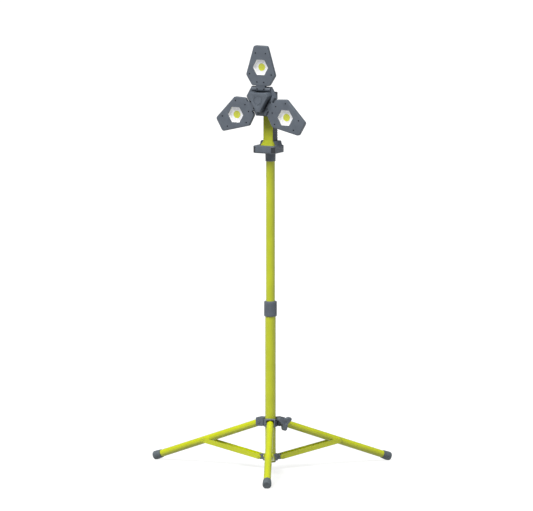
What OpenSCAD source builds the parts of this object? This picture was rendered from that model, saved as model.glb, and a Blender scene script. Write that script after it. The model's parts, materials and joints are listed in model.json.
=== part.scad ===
// Work light on a folding tripod: three tilting light panels on a telescopic mast.
// Origin on the mast axis at floor level, +Z up, the front leg along -Y.
// Built in the standing pose: legs spread, mast raised, head turned a little.

/* [Mast] */
// Outer diameter of the lower mast tube
lower_d = 32; // [28:0.5:36]
// Wall of the lower mast tube
lower_wall = 1.4; // [1:0.1:2]
// Height of the lower tube's open end above the floor
lower_start = 24; // [20:1:35]
// Length of the lower tube
lower_len = 478; // [440:1:560]
// Wall of the guide bush between the two tubes
bush_t = 1; // [0.8:0.1:2.5]
// Wall of the upper mast tube
upper_wall = 1.2; // [0.8:0.1:2]
// Length of the upper tube
upper_len = 506; // [420:1:560]
// How much of the upper tube stays inside the lower one
upper_overlap = 62; // [55:1:120]

/* [Twist clamp] */
// Wall of the twist collar
twist_wall = 1.85; // [1.8:0.05:4]
// Length of the twist collar
twist_len = 46; // [40:1:60]
// Number of grip flutes round the collar
twist_flutes = 18; // [8:1:24]

/* [Legs] */
// Outer diameter of a leg tube
leg_d = 22; // [18:0.5:24]
// Wall of a leg tube
leg_wall = 1.2; // [0.8:0.1:2]
// Slope of the spread legs below level
leg_slope = 19.3; // [18:0.1:24]
// Distance from the mast axis to a foot's end
foot_reach = 413; // [330:1:500]
// Height of the leg hinges when spread
leg_hinge_z = 143; // [140:0.5:170]
// Length of a foot cap
foot_len = 29; // [20:1:45]

/* [Struts] */
// Distance from the mast axis to the rivet on a leg
rivet_reach = 232.6; // [190:0.2:270]
// Height of the strut hinges on the lower ring
strut_hinge_z = 37.1; // [34:0.1:44]
// Height of a strut's side flange
strut_h = 15; // [12:0.5:18]
// Sheet thickness of a strut
strut_sheet = 1.5; // [1:0.1:2.5]

/* [Leg collar] */
// Height of the collar and its lugs
collar_h = 26; // [25:0.5:32]
// Cheek thickness of a lug
cheek = 2.8; // [2:0.1:4]
// Diameter of the leg hinge pins
leg_pin_d = 6; // [4:0.5:8]

/* [Clamp knob] */
// Radius to the middle of a lobe
lobe_reach = 18; // [14:0.5:22]
// Radius of a lobe's end
lobe_r = 6.6; // [5:0.2:8]
// Depth of the knob along its axis
knob_depth = 14; // [10:0.5:20]

/* [Base of the lamp] */
// Width of the base
base_w = 74; // [66:1:90]
// Depth of the base, front to back
base_d = 68; // [60:1:80]
// How far the base's middle lies in front of the mast axis
base_fwd = 12; // [6:0.5:14]
// Height of the base
base_h = 22; // [20:0.5:36]
// Wall of the plastic housings
shell = 2.4; // [1.8:0.1:3]
// Diameter of the spigot the lamp turns on
spigot_d = 16; // [12:0.5:18]

/* [Neck] */
// Width of the neck
neck_w = 34; // [30:0.5:40]
// Depth of the neck
neck_d = 36; // [30:0.5:40]
// Depth of the neck's painted front
neck_front_d = 3.4; // [3:0.2:8]
// Room in the neck above the battery cells
neck_room = 25; // [18:1:40]
// Diameter of a battery cell
cell_d = 18.4; // [14:0.1:21]
// Length of a battery cell
cell_len = 65; // [50:1:66]

/* [Hub] */
// Angle the head is turned away from the front leg
head_yaw = 27.5; // [0:0.5:60]
// How far the hub's middle lies below the neck's top
hub_drop = 20; // [10:1:40]
// Distance from the mast axis forward to the panel hinges
hub_fwd = 56.6; // [52:0.2:80]
// Middle of the hub to a panel's hinge axis
hinge_reach = 32.2; // [32:0.1:36]
// Thickness of the hub's rear rim
rim_t = 8; // [6:0.5:12]
// Front plate showing between its side and the mode button
button_rim = 10; // [7.4:0.1:14]
// How far the hub's front stands out past the panels
cover_proud = 16.4; // [8:0.2:24]
// Travel of the mode button
button_travel = 1.5; // [0.5:0.1:2]

/* [Light panels] */
// Thickness of a panel
panel_t = 13.6; // [12:0.2:14]
// Width of a panel at its widest
panel_w = 98; // [84:1:100]
// Middle of the hub to a panel's outer end
panel_reach = 164; // [150:0.5:200]
// Width of a panel's outer end
panel_tip_w = 50; // [40:1:60]
// Width of a panel's hinge side
panel_root_w = 66; // [50:1:68]
// Width of the hinge tab
tab_w = 30.6; // [26:0.2:34]
// Size of the hexagonal window, flat to flat
window = 46.2; // [40:0.2:56]
// Diameter of the light disc
led_d = 23; // [16:0.5:24]

/* [Hidden] */
$fn = 48;

lime = "#adb52e";
grey = "#656d77";
dark = "#3b3f47";
steel = "#b9bdc2";

// Clearances: a running fit, a gap between moving faces, and a thin cut allowance
run_gap = 0.05;
free_gap = 0.4;
eps = 0.01;

// Mast
lower_r = lower_d / 2;
lower_bore_r = lower_r - lower_wall;
lower_top = lower_start + lower_len;
bush_run = 0.1;
upper_r = lower_bore_r - bush_run - bush_t;
upper_bore_r = upper_r - upper_wall;
upper_start = lower_top - upper_overlap;
upper_top = upper_start + upper_len;
plug_len = 8;
bush_len = 24;
clamp_sleeve_len = 30;
clamp_sleeve_t = 1.4;
clamp_head = 7;
twist_top = lower_top + 10;
twist_start = twist_top - twist_len;
twist_r = lower_r + clamp_sleeve_t + run_gap + twist_wall;
twist_bevel = 3.4;
flute_r = 1.2;

// Socket at the mast's top
socket_r = upper_r + 2;
socket_len = 26.6;
socket_seat = 9;
socket_start = upper_top - socket_seat;
socket_top = socket_start + socket_len;
spigot_r = spigot_d / 2;
spigot_rise = 21;

// Lower ring, its lugs and its pins
ring_r = lower_r + 6.5;
ring_half_h = 9.6;
strut_hinge_r = ring_r + strut_h / 2 + 5;
ring_pin_r = 2.5;
flange_in = leg_d / 2 + 0.6;
flange_out = flange_in + strut_sheet;
ring_lug_half = flange_in - free_gap;
ring_lug_r = strut_h / 2 - 0.3;
pin_head_r = 4.2;
pin_head_t = 1.5;
head_gap = 0.3;

// Leg hinges
leg_r = leg_d / 2;
collar_run = 0.1;
collar_wall = 5.3;
collar_r = lower_r + collar_run + collar_wall;
leg_hinge_r = collar_r + leg_r + 0.6;
slot_half = leg_r + free_gap;
lug_half = slot_half + cheek;
lug_end = leg_hinge_r + 10.5;
collar_top = leg_hinge_z + leg_r + 3;
collar_start = collar_top - collar_h;
ring_step = 4;
lug_roof = 2.3;
lug_round = 4;
leg_pin_r = leg_pin_d / 2;
leg_len = (foot_reach - leg_hinge_r) / cos(leg_slope);
leg_azimuth = [-90, 150, 30];
right_leg = 2;

// Foot caps
foot_r = leg_r + 1.3;
foot_toe_r = leg_r + 2.4;
foot_wall = 4;
foot_round = 5;

// Struts: from the lower ring's hinge up to the rivet on the leg
rivet_z = leg_hinge_z - (rivet_reach - leg_hinge_r) * tan(leg_slope);
strut_run = rivet_reach - strut_hinge_r;
strut_rise = rivet_z - strut_hinge_z;
strut_len = norm([strut_run, strut_rise]);
strut_slope = atan2(strut_rise, strut_run);
web_start = strut_h / 2 + 6;
web_clear = 105;
rivet_r = 2.5;

// Clamp knob on the right leg's hinge screw
boss_r = 7.5;
knob_inner = leg_hinge_r - lobe_reach - lobe_r;
ring_beside_knob = sqrt(pow(collar_r, 2) - pow(min(collar_r, knob_inner), 2));
boss_t = max(2.6, ring_beside_knob - lug_half);
knob_start = lug_half + boss_t + free_gap;
knob_hub_r = 9;
knob_step = 1;
nut_r = 5;
nut_len = 9;
screw_head_r = 6;
screw_head_t = 4;

// Base of the lamp
base_start = socket_top + free_gap;
base_top = base_start + base_h;
base_split = base_start + base_h / 2;
base_round = 9;
hump_h = 13;
hump_w = 66;
hump_draft = 4;
hump_back = base_d / 2 - base_fwd - 1.5;
port_w = base_w - 14;
port_h = base_h - 5.5;
port_t = 3;
boss_wall = 3.2;
board_t = 1.6;

// Neck
cell_lift = 6;
cell_gap = 1;
neck_h = cell_lift + 2 * cell_len + cell_gap + neck_room;
neck_top = base_top + neck_h;
neck_round = 6;
neck_split = neck_front_d - neck_d / 2;
boss_meet = -6;
skirt_h = 14;
skirt_flare = 7;
neck_screw_x = 6;
neck_screw_drop = 12;
neck_screw_r = 1.5;
neck_head_r = 2.8;
neck_head_t = 1.4;
neck_head_sink = 1.7;

// Hub: triangles with cut corners, given by the distance to a side and half a side's length
panel_half_t = panel_t / 2;
hub_z = neck_top - hub_drop;
rim_side = hinge_reach + 8;
rim_half = 33.3;
cover_side = hinge_reach - panel_half_t - 0.8;
cover_half = 30.6;
rim_front = 0;
rim_back = rim_front - rim_t;
cover_front = panel_half_t + cover_proud;
cover_draft = 2.2;
notch_side = cover_side - 2.3;
tail_end = neck_d / 2 - hub_fwd;
tail_w = neck_w - 4;
tail_h = 46;
tail_y = -6;
ear_r = panel_half_t - 0.4;
ear_end = 32;
tab_gap = 0.4;
hinge_pin_r = 2.5;
button_gap = 0.3;
button_r = cover_side - button_rim;
button_flange = 1.5;
switch_h = 4;
hub_screw_r = 1.25;
hub_screw_at = 34.5;
hub_screw_len = rim_t + shell + 7;

// Light panels: x across, y away from the hub's middle, z to the front
panel_root = hinge_reach + 10.8;
panel_wide_at = 76;
panel_bevel = 2.6;
panel_corner = 8;
panel_split = -1;
tab_half = tab_w / 2;
tab_arm = 3;
tab_split = 4.4;
window_at = 98.5;
window_slope = 4;
led_board_t = 1.2;
led_rise = 1.4;
reflector_wall = 1.1;
lens_t = 1;
lens_ledge = 0.8;
panel_screw_r = 1.2;
panel_head_r = 2.4;
head_sink = 1.4;
panel_screws = [[11.7, 54], [37.2, 77.5], [17.2, 141]];
tab_screws = [[11.3, 33]];
reflector_floor = -panel_half_t + shell + led_board_t;
panel_turn = [0, 120, -120];

// ---- Placing helpers -------------------------------------------------------------------------

// Turns a leg's own frame, +X away from the mast, to one of the three legs
module at_leg(i) {
    rotate([0, 0, leg_azimuth[i]]) children();
}

// A leg's own frame at its hinge, +X down the leg
module along_leg(i) {
    at_leg(i) translate([leg_hinge_r, 0, leg_hinge_z]) rotate([0, leg_slope, 0]) children();
}

// A strut's own frame at the lower ring, +X towards the leg
module along_strut(i) {
    at_leg(i) translate([strut_hinge_r, 0, strut_hinge_z]) rotate([0, -strut_slope, 0]) children();
}

// The lamp's frame: mast axis, turned with the head, -Y to the front
module in_lamp() {
    rotate([0, 0, -head_yaw]) children();
}

// The hub's frame: x across, y up, z to the front, zero on the panel hinges' plane
module in_hub() {
    in_lamp() translate([0, -hub_fwd, hub_z]) rotate([90, 0, 0]) children();
}

// One panel's frame inside the hub's
module in_panel(i) {
    in_hub() rotate([0, 0, panel_turn[i]]) children();
}

module each_leg() {
    for (i = [0:2]) at_leg(i) children();
}

// ---- Shared shapes ---------------------------------------------------------------------------

module tube(r, bore, h) {
    difference() {
        cylinder(r = r, h = h);
        translate([0, 0, -1]) cylinder(r = bore, h = h + 2);
    }
}

// A cylinder along Y, centred on the origin
module cross_cylinder(r, h) {
    rotate([90, 0, 0]) cylinder(r = r, h = h, center = true);
}

// Rectangle with round corners, centred
module round_rect(w, d, r) {
    square([w - 2 * r, d], center = true);
    square([w, d - 2 * r], center = true);
    for (x = [-1, 1]) {
        for (y = [-1, 1]) {
            translate([x * (w / 2 - r), y * (d / 2 - r)]) circle(r = r);
        }
    }
}

// Triangle with cut corners and one side at the top
module cut_triangle(side, half) {
    polygon([for (i = [0:2], s = [-1, 1])
        [side * sin(120 * i) + s * half * cos(120 * i),
         side * cos(120 * i) - s * half * sin(120 * i)]]);
}

// ---- Mast and lower ring ---------------------------------------------------------------------

module lower_mast() {
    color(lime) translate([0, 0, lower_start]) tube(lower_r, lower_bore_r, lower_len);
}

module mast_plug() {
    color(dark) {
        translate([0, 0, lower_start]) cylinder(r = lower_bore_r, h = plug_len);
        translate([0, 0, lower_start - 2]) cylinder(r = lower_r, h = 2);
    }
}

module lower_ring() {
    color(grey) difference() {
        union() {
            translate([0, 0, strut_hinge_z - ring_half_h]) cylinder(r = ring_r, h = 2 * ring_half_h);
            each_leg() ring_lug();
        }
        translate([0, 0, lower_start - 1]) cylinder(r = lower_r, h = lower_len);
        each_leg() translate([strut_hinge_r, 0, strut_hinge_z])
            cross_cylinder(ring_pin_r, 4 * ring_lug_half);
    }
}

module ring_lug() {
    half = ring_lug_half;
    translate([lower_r, -half, strut_hinge_z - ring_lug_r])
        cube([strut_hinge_r - lower_r, 2 * half, 2 * ring_lug_r]);
    translate([strut_hinge_r, 0, strut_hinge_z]) cross_cylinder(ring_lug_r, 2 * half);
}

module ring_pins() {
    color(steel) each_leg() translate([strut_hinge_r, 0, strut_hinge_z]) {
        cross_cylinder(ring_pin_r, 2 * (flange_out + head_gap) + 2 * eps);
        for (s = [-1, 1]) {
            translate([0, s * (flange_out + head_gap + pin_head_t / 2), 0])
                cross_cylinder(pin_head_r, pin_head_t);
        }
    }
}

// ---- Twist clamp -----------------------------------------------------------------------------

module clamp_body() {
    sleeve_r = lower_r + clamp_sleeve_t;
    color(dark) difference() {
        translate([0, 0, lower_top - clamp_sleeve_len])
            cylinder(r = sleeve_r, h = clamp_sleeve_len + clamp_head);
        translate([0, 0, lower_top - clamp_sleeve_len - 1])
            cylinder(r = lower_r, h = clamp_sleeve_len + 1);
        cylinder(r = upper_r + run_gap, h = twist_top);
    }
}

module twist_collar() {
    bore_r = lower_r + clamp_sleeve_t + run_gap;
    sleeve_low = lower_top - clamp_sleeve_len - head_gap;
    sleeve_high = lower_top + clamp_head + head_gap;
    outer_r = twist_r;
    color(grey) difference() {
        union() {
            translate([0, 0, twist_start]) cylinder(r1 = outer_r - 1.5, r2 = outer_r, h = 1.5);
            translate([0, 0, twist_start + 1.5]) cylinder(r = outer_r, h = twist_len - 1.5 - twist_bevel);
            translate([0, 0, twist_top - twist_bevel])
                cylinder(r1 = outer_r, r2 = outer_r - twist_bevel, h = twist_bevel);
        }
        translate([0, 0, sleeve_low]) cylinder(r = bore_r, h = sleeve_high - sleeve_low);
        translate([0, 0, twist_start - 1]) cylinder(r = lower_r + free_gap, h = twist_len);
        cylinder(r = upper_r + free_gap, h = twist_top + 1);
        for (i = [0:twist_flutes - 1]) {
            rotate([0, 0, i * 360 / twist_flutes])
                translate([outer_r + flute_r * 0.55, 0, twist_start + 7])
                cylinder(r = flute_r, h = twist_len - 16, $fn = 24);
        }
    }
}

// ---- Upper mast ------------------------------------------------------------------------------

module upper_mast() {
    color(lime) translate([0, 0, upper_start]) tube(upper_r, upper_bore_r, upper_len);
}

module mast_bush() {
    color(dark) difference() {
        translate([0, 0, upper_start - 3]) cylinder(r = lower_bore_r - bush_run, h = bush_len);
        translate([0, 0, upper_start]) cylinder(r = upper_r, h = bush_len);
    }
}

module mast_spigot() {
    color(steel) {
        translate([0, 0, socket_start - 12]) cylinder(r = upper_bore_r, h = 12 + socket_seat);
        translate([0, 0, upper_top]) cylinder(r = spigot_r, h = socket_top - upper_top + spigot_rise);
    }
}

module socket_collar() {
    color(grey) difference() {
        union() {
            translate([0, 0, socket_start]) cylinder(r1 = socket_r - 1, r2 = socket_r, h = 1.5);
            translate([0, 0, socket_start + 1.5]) cylinder(r = socket_r, h = socket_len - 1.5);
        }
        translate([0, 0, socket_start - 1]) cylinder(r = upper_r, h = socket_seat + 1);
        cylinder(r = spigot_r, h = socket_top + 1);
    }
}

// ---- Leg collar, pins and clamp knob ---------------------------------------------------------

module leg_collar() {
    color(grey) difference() {
        union() {
            translate([0, 0, collar_start]) cylinder(r = collar_r, h = collar_h - ring_step);
            each_leg() collar_lug();
            at_leg(right_leg) translate([leg_hinge_r, -lug_half - boss_t / 2, leg_hinge_z])
                cross_cylinder(boss_r, boss_t + 2 * eps);
        }
        cylinder(r = lower_r + collar_run, h = collar_top + 1);
        each_leg() translate([leg_hinge_r, 0, leg_hinge_z])
            cross_cylinder(leg_pin_r, 4 * lug_half);
    }
}

module collar_lug() {
    lug_len = lug_end - lower_r - 2;
    difference() {
        translate([lug_end - lug_len / 2, 0, collar_start + collar_h / 2]) rotate([90, 0, 0])
            linear_extrude(2 * lug_half, center = true) round_rect(lug_len, collar_h, lug_round);
        translate([collar_r - eps, -slot_half, collar_start - 1])
            cube([lug_end, 2 * slot_half, collar_h + 1 - lug_roof]);
    }
}

// Hinge pins of the front and the left leg; the right leg turns on the clamp screw
module leg_pins() {
    color(steel) for (i = [0:1]) {
        at_leg(i) translate([leg_hinge_r, 0, leg_hinge_z]) {
            cross_cylinder(leg_pin_r, 2 * lug_half + 2 * eps);
            for (s = [-1, 1]) {
                translate([0, s * (lug_half + pin_head_t / 2), 0])
                    cross_cylinder(leg_pin_r + 1.8, pin_head_t);
            }
        }
    }
}

module clamp_screw() {
    shank_end = knob_start + knob_depth - 3;
    color(steel) at_leg(right_leg) translate([leg_hinge_r, 0, leg_hinge_z]) {
        translate([0, (lug_half - shank_end) / 2, 0])
            cross_cylinder(leg_pin_r, lug_half + shank_end);
        translate([0, lug_half + screw_head_t / 2, 0]) rotate([90, 0, 0])
            cylinder(r = screw_head_r, h = screw_head_t, center = true, $fn = 6);
    }
}

// The knob's own frame: +Z along the screw, away from the lug
module on_clamp_screw() {
    at_leg(right_leg) translate([leg_hinge_r, -knob_start, leg_hinge_z]) rotate([90, 0, 0])
        children();
}

module clamp_knob() {
    color(grey) on_clamp_screw() difference() {
        union() {
            linear_extrude(knob_depth - knob_step) knob_outline(0);
            linear_extrude(knob_depth) knob_outline(knob_step);
        }
        translate([0, 0, -1]) cylinder(r = nut_r, h = nut_len + 1);
        translate([0, 0, -1]) cylinder(r = leg_pin_r + 0.3, h = knob_depth - 1);
    }
}

// Three lobes round a hub, shrunk by a margin
module knob_outline(margin) {
    hub_half = knob_hub_r - 1.2 - margin;
    lobe_half = lobe_r - 0.6 - margin;
    circle(r = knob_hub_r - margin);
    for (a = [-90, 30, 150]) {
        rotate([0, 0, a]) {
            translate([lobe_reach, 0]) circle(r = lobe_r - margin);
            polygon([[0, hub_half], [lobe_reach, lobe_half], [lobe_reach, -lobe_half],
                [0, -hub_half]]);
        }
    }
}

module knob_nut() {
    color("#b08d3c") on_clamp_screw() tube(nut_r, leg_pin_r + run_gap, nut_len);
}

// ---- Legs and feet ---------------------------------------------------------------------------

module leg(i) {
    solid_len = leg_r + 4;
    tube_end = leg_len - foot_wall;
    color(lime) along_leg(i) difference() {
        union() {
            sphere(r = leg_r);
            rotate([0, 90, 0]) cylinder(r = leg_r, h = tube_end);
        }
        translate([solid_len, 0, 0]) rotate([0, 90, 0]) cylinder(r = leg_r - leg_wall, h = tube_end);
        cross_cylinder(leg_pin_r + run_gap, 3 * leg_r);
    }
}

module leg_front() { leg(0); }

module leg_left() { leg(1); }

module leg_right() { leg(2); }

// Half outline of a foot cap, length along the leg against radius
function foot_outline() = concat(
    [[0, 0], [foot_r, 0], [foot_toe_r, foot_len * 0.55]],
    [for (a = [0:15:90]) [foot_toe_r - foot_round + foot_round * cos(a),
        foot_len - foot_round + foot_round * sin(a)]],
    [[0, foot_len]]);

module foot(i) {
    color(dark) difference() {
        along_leg(i) translate([leg_len - foot_len, 0, 0]) rotate([0, 90, 0])
            rotate_extrude() polygon(foot_outline());
        along_leg(i) rotate([0, 90, 0]) cylinder(r = leg_r, h = leg_len - foot_wall);
        at_leg(i) translate([0, -leg_d, -leg_d]) cube([2 * foot_reach, 2 * leg_d, leg_d]);
    }
}

module foot_front() { foot(0); }

module foot_left() { foot(1); }

module foot_right() { foot(2); }

// ---- Struts ----------------------------------------------------------------------------------

// An open-topped channel: two flanges, joined by a floor only near the ring,
// where the folded leg can't reach it
module strut(i) {
    color(lime) along_strut(i) difference() {
        union() {
            for (s = [-1, 1]) {
                translate([strut_len / 2, s * (flange_in + strut_sheet / 2), 0]) rotate([90, 0, 0])
                    linear_extrude(strut_sheet, center = true)
                    round_rect(strut_len + strut_h, strut_h, strut_h / 2 - eps);
            }
            translate([web_start, -flange_out + eps, -strut_h / 2])
                cube([strut_len - web_clear - web_start, 2 * flange_out - 2 * eps, strut_sheet]);
        }
        cross_cylinder(ring_pin_r + run_gap, 3 * flange_out);
        translate([strut_len, 0, 0]) cross_cylinder(rivet_r, 3 * flange_out);
    }
}

module strut_front() { strut(0); }

module strut_left() { strut(1); }

module strut_right() { strut(2); }

// The two ends of the rivet that ties a strut to its leg
module rivets(i) {
    color(steel) along_strut(i) translate([strut_len, 0, 0]) for (s = [-1, 1]) {
        translate([0, s * (flange_in + strut_sheet / 2), 0]) cross_cylinder(rivet_r, strut_sheet);
        translate([0, s * (flange_out + pin_head_t / 2), 0]) cross_cylinder(pin_head_r, pin_head_t);
    }
}

module rivets_front() { rivets(0); }

module rivets_left() { rivets(1); }

module rivets_right() { rivets(2); }

// ---- Base of the lamp ------------------------------------------------------------------------

// The base's outline grown or shrunk by a margin
module base_outline(margin) {
    translate([0, -base_fwd])
        round_rect(base_w + 2 * margin, base_d + 2 * margin, base_round + margin);
}

module base_tray() {
    h = base_split - base_start;
    boss_r2 = spigot_r + boss_wall;
    color(grey) in_lamp() difference() {
        union() {
            difference() {
                translate([0, 0, base_start]) linear_extrude(h) base_outline(0);
                translate([0, 0, base_start + shell]) linear_extrude(h) base_outline(-shell);
            }
            translate([0, 0, base_start]) cylinder(r = boss_r2, h = spigot_rise + 2);
        }
        translate([0, 0, base_start - 1]) cylinder(r = spigot_r + run_gap, h = spigot_rise + 1);
        port_seat();
    }
}

module base_cover() {
    h = base_top - base_split;
    color(grey) in_lamp() difference() {
        union() {
            translate([0, 0, base_split]) linear_extrude(h - 2) base_outline(0);
            translate([0, 0, base_top - 2]) linear_extrude(2) base_outline(-1.5);
            hump_outer();
        }
        translate([0, 0, base_split - 1]) linear_extrude(h + 1 - shell) base_outline(-shell);
        hump_inner();
        port_seat();
    }
}

// Raised shoulder behind the foot of the neck
module hump_outer() {
    hump_d = hump_back - neck_split;
    foot_h = 4;
    translate([0, hump_back - hump_d / 2, 0]) hull() {
        translate([0, 0, base_top - shell]) linear_extrude(shell + foot_h)
            round_rect(hump_w, hump_d, 9);
        translate([0, 0, base_top + hump_h - 1]) linear_extrude(1)
            round_rect(hump_w - 2 * hump_draft, hump_d, 9);
    }
}

// Room inside the shoulder: the neck stands in its middle
module hump_inner() {
    translate([0, 0, base_top - shell - 1]) linear_extrude(hump_h + shell + 2)
        round_rect(neck_w, neck_d, neck_round);
}

// Shallow seat for the cover on the base's front
module port_seat() {
    front = -base_fwd - base_d / 2;
    translate([0, front, base_start + base_h / 2]) rotate([90, 0, 0])
        linear_extrude(2 * (port_t - 1), center = true) round_rect(port_w, port_h, 5);
}

module port_cover() {
    front = -base_fwd - base_d / 2;
    color(grey) in_lamp() translate([0, front + port_t - 1, base_start + base_h / 2])
        rotate([90, 0, 0]) linear_extrude(port_t) round_rect(port_w, port_h, 5);
}

module charge_board() {
    front = -base_fwd - base_d / 2 + 4 * shell;
    color("#1f5c3a") in_lamp() translate([-22, front, base_start + shell])
        cube([44, 16, board_t]);
}

// ---- Neck ------------------------------------------------------------------------------------

module neck_outline(margin) {
    round_rect(neck_w + 2 * margin, neck_d + 2 * margin, neck_round + margin);
}

// Keeps what lies in front of the neck's parting plane, or behind it
module neck_half(front) {
    y = front ? neck_split - 4 * neck_d : neck_split;
    intersection() {
        children();
        translate([-2 * neck_w, y, 0]) cube([4 * neck_w, 4 * neck_d, neck_top + 10]);
    }
}

module neck_shell() {
    difference() {
        union() {
            translate([0, 0, base_top]) linear_extrude(neck_h - 3) neck_outline(0);
            translate([0, 0, neck_top - 3]) linear_extrude(3) neck_outline(-1.6);
        }
        translate([0, 0, base_top - 1]) linear_extrude(neck_h + 1 - shell) neck_outline(-shell);
    }
}

module neck_front() {
    color(lime) in_lamp() difference() {
        union() {
            neck_half(true) {
                neck_shell();
                neck_skirt();
            }
            neck_bosses(1 - neck_d / 2, boss_meet);
        }
        translate([0, 0, base_top - 1]) linear_extrude(neck_h / 2) neck_outline(-shell);
        translate([0, -neck_d / 2, hub_z - 8]) cross_cylinder(3, 4 * shell);
        neck_screw_places() cross_cylinder(neck_screw_r, neck_d - 2 * shell);
    }
}

// Bosses that the neck's two shells are screwed together through
module neck_bosses(y0, y1) {
    neck_screw_places() translate([0, (y0 + y1) / 2, 0]) cross_cylinder(2 * neck_screw_r, y1 - y0);
}

// The neck's foot spreads over the base
module neck_skirt() {
    hull() {
        translate([0, 0, base_top + skirt_h]) linear_extrude(eps) neck_outline(0);
        translate([0, 0, base_top]) linear_extrude(2) neck_outline(skirt_flare);
    }
}

module neck_grip() {
    color(dark) in_lamp() difference() {
        union() {
            neck_half(false) neck_shell();
            neck_bosses(boss_meet, neck_d / 2 - 1);
        }
        neck_screw_places() {
            cross_cylinder(neck_screw_r, 2 * neck_d);
            translate([0, neck_d / 2 - neck_head_sink, 0]) rotate([-90, 0, 0])
                cylinder(r = neck_head_r, h = neck_d);
        }
    }
}

module neck_screw_places() {
    for (s = [-1, 1]) {
        translate([s * neck_screw_x, 0, neck_top - neck_screw_drop]) children();
    }
}

module neck_screws() {
    shank = neck_d - shell - neck_head_sink;
    color(steel) in_lamp() neck_screw_places() translate([0, neck_d / 2 - neck_head_sink, 0]) {
        rotate([90, 0, 0]) cylinder(r = neck_screw_r, h = shank);
        rotate([-90, 0, 0]) cylinder(r = neck_head_r, h = neck_head_t);
    }
}

module battery_cells() {
    color("#3a6ea5") in_lamp() for (i = [0:1]) {
        translate([0, -1, base_top + cell_lift + i * (cell_len + cell_gap)])
            cylinder(r = cell_d / 2, h = cell_len);
    }
}

// ---- Hub -------------------------------------------------------------------------------------

module hub_housing() {
    color(grey) in_hub() difference() {
        union() {
            translate([0, 0, rim_back]) linear_extrude(rim_t) cut_triangle(rim_side, rim_half);
            hub_tail(0, rim_back);
            for (a = panel_turn) {
                rotate([0, 0, a]) hub_ears();
            }
        }
        hub_tail(shell, rim_back - shell);
        translate([0, 0, rim_back - shell - 1]) linear_extrude(rim_t + shell + 2)
            cut_triangle(notch_side - 2 * shell, cover_half - 3 * shell);
        for (a = panel_turn) {
            rotate([0, 0, a]) {
                tab_notch(rim_back);
                translate([0, hinge_reach, 0]) rotate([0, 90, 0])
                    cylinder(r = hinge_pin_r, h = 2 * (ear_end - 1), center = true);
            }
        }
        hub_screw_places() cylinder(r = hub_screw_r, h = hub_screw_len);
    }
}

// Slot that one panel's tab lies in, open to the front
module tab_notch(z0) {
    translate([-tab_half - 0.8, notch_side, z0])
        cube([tab_w + 1.6, rim_side, 2 * cover_front]);
}

// Tapered back of the housing that meets the neck, or the room inside it
module hub_tail(inset, wide_end) {
    hull() {
        translate([0, 0, wide_end]) linear_extrude(eps)
            cut_triangle(rim_side - 5 - inset, rim_half - 3 - inset / 2);
        translate([0, tail_y, tail_end + inset]) linear_extrude(1)
            square([tail_w - 2 * inset, tail_h - 2 * inset], center = true);
    }
}

// Two knuckles that hold one panel's hinge pin
module hub_ears() {
    ear_start = tab_half + tab_gap;
    for (s = [-1, 1]) {
        translate([s * (ear_start + ear_end) / 2, hinge_reach, 0]) {
            rotate([0, 90, 0]) cylinder(r = ear_r, h = ear_end - ear_start, center = true);
        }
    }
}

module hub_screw_places() {
    for (a = panel_turn) {
        rotate([0, 0, a + 180]) translate([0, hub_screw_at, rim_back - shell]) children();
    }
}

module hub_cover() {
    edge = 1.5;
    color(grey) in_hub() difference() {
        union() {
            hull() {
                translate([0, 0, rim_front]) linear_extrude(eps) cut_triangle(cover_side, cover_half);
                translate([0, 0, cover_front - edge]) linear_extrude(eps)
                    cut_triangle(cover_side - cover_draft, cover_half - cover_draft);
            }
            hull() {
                translate([0, 0, cover_front - edge]) linear_extrude(eps)
                    cut_triangle(cover_side - cover_draft, cover_half - cover_draft);
                translate([0, 0, cover_front - eps]) linear_extrude(eps)
                    cut_triangle(cover_side - cover_draft - edge, cover_half - cover_draft - edge / 2);
            }
        }
        translate([0, 0, rim_front - 1]) linear_extrude(cover_front - rim_front + 1 - shell)
            cut_triangle(notch_side - shell, cover_half - 2 * shell);
        cylinder(r = button_r + button_gap, h = 2 * cover_front);
        hub_screw_places() cylinder(r = hub_screw_r, h = hub_screw_len);
        for (a = panel_turn) {
            rotate([0, 0, a]) tab_notch(rim_front - 1);
        }
    }
}

// Screws from inside the housing into the cover's corners
module hub_screws() {
    color(steel) in_hub() hub_screw_places() {
        cylinder(r = hub_screw_r, h = hub_screw_len);
        translate([0, 0, -1.6]) cylinder(r = 2 * hub_screw_r, h = 1.6);
    }
}

module driver_board() {
    color("#1f5c3a") in_hub() translate([0, 0, rim_front]) linear_extrude(board_t)
        cut_triangle(notch_side - shell - 1, cover_half - 2 * shell - 1);
}

module mode_switch() {
    color("black") in_hub() translate([0, 0, rim_front + board_t]) {
        translate([-6, -6, 0]) cube([12, 12, switch_h - 1]);
        cylinder(r = 3.4, h = switch_h);
    }
}

module mode_button() {
    cap_under = cover_front - shell - button_gap;
    stem_end = rim_front + board_t + switch_h + button_travel + button_gap;
    color(grey) in_hub() {
        translate([0, 0, cap_under]) cylinder(r = button_r, h = cover_front + 0.6 - cap_under);
        translate([0, 0, cap_under - button_flange])
            cylinder(r = button_r + button_flange, h = button_flange);
        translate([0, 0, stem_end]) cylinder(r = 4, h = cap_under - stem_end);
    }
}

module hinge_pins() {
    color(steel) in_hub() for (a = panel_turn) {
        rotate([0, 0, a]) translate([0, hinge_reach, 0]) rotate([0, 90, 0])
            cylinder(r = hinge_pin_r, h = 2 * (ear_end - 1), center = true);
    }
}

// ---- Light panels ----------------------------------------------------------------------------

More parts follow.
